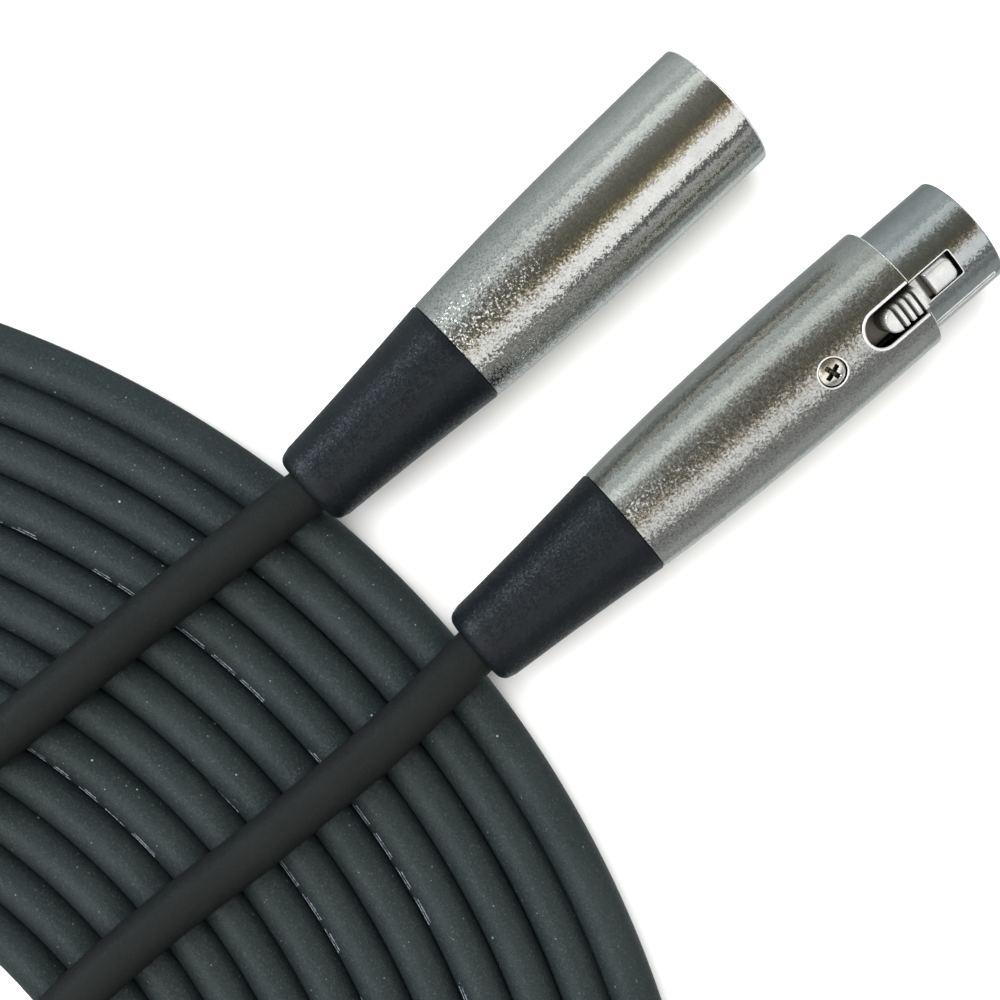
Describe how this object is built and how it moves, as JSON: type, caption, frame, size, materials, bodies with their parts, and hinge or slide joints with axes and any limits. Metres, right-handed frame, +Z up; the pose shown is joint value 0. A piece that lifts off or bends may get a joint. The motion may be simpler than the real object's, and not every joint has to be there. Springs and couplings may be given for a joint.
{
  "type": "xlr cable coil",
  "caption": "Flat coil of microphone cable, tied, with a male and a latching female metal audio connector lying past its edge, each with a rubber boot",
  "frame": {"origin": "on the surface the coil lies on, under the middle of the bounding box", "axes": "+Z up through the flat coil, +Y the way the two connectors point, +X to the right of that, so the female connector is at +X"},
  "size_m": [0.299, 0.3867, 0.02],
  "materials": {
    "cable_jacket": "matt soft PVC, near black with a green-grey cast",
    "tie_webbing": "black hook-and-loop webbing",
    "nickel_shell": "satin nickel plate on die-cast zinc",
    "boot_rubber": "matt black with a fine grain",
    "insert_moulding": "black moulded insulator",
    "contact_plating": "silver-plated brass",
    "socket_bronze": "bright copper alloy",
    "latch_steel": "bright nickel-plated steel",
    "fastener_steel": "bright plated steel",
    "core_red": "red core insulation",
    "core_white": "white core insulation",
    "drain_copper": "bare copper strand"
  },
  "bodies": {
    "cable": {"cable_coil": "cable_jacket", "coil_tie_1": "tie_webbing", "coil_tie_2": "tie_webbing", "female_boot": "boot_rubber", "female_clamp_lower": "fastener_steel", "female_clamp_screw_left": "fastener_steel", "female_clamp_screw_right": "fastener_steel", "female_clamp_upper": "fastener_steel", "female_core_cold": "core_white", "female_core_hot": "core_red", "female_drain_wire": "drain_copper", "female_insert": "insert_moulding", "female_lead": "cable_jacket", "female_nose": "nickel_shell", "female_retaining_screw": "fastener_steel", "female_shell": "nickel_shell", "female_socket_1": "socket_bronze", "female_socket_2": "socket_bronze", "female_socket_3": "socket_bronze", "latch_pivot_pin": "latch_steel", "latch_spring": "latch_steel", "male_boot": "boot_rubber", "male_clamp_lower": "fastener_steel", "male_clamp_screw_left": "fastener_steel", "male_clamp_screw_right": "fastener_steel", "male_clamp_upper": "fastener_steel", "male_core_cold": "core_white", "male_core_hot": "core_red", "male_drain_wire": "drain_copper", "male_insert": "insert_moulding", "male_lead": "cable_jacket", "male_pin_1": "contact_plating", "male_pin_2": "contact_plating", "male_pin_3": "contact_plating", "male_retaining_screw": "fastener_steel", "male_shell": "nickel_shell"},
    "latch": {"latch_lever": "latch_steel"}
  },
  "joints": [
    {"name": "latch_press", "type": "hinge", "parent": "cable", "child": "latch", "pos_m": [0.00977, 0.17075, 0.01487], "axis": [-0.9535, 0.0206, 0.3007], "range_deg": [0, 5], "stiffness_Nm_per_rad": 0.3, "springref_deg": -2.86, "deforming": ["latch_spring"]}
  ]
}
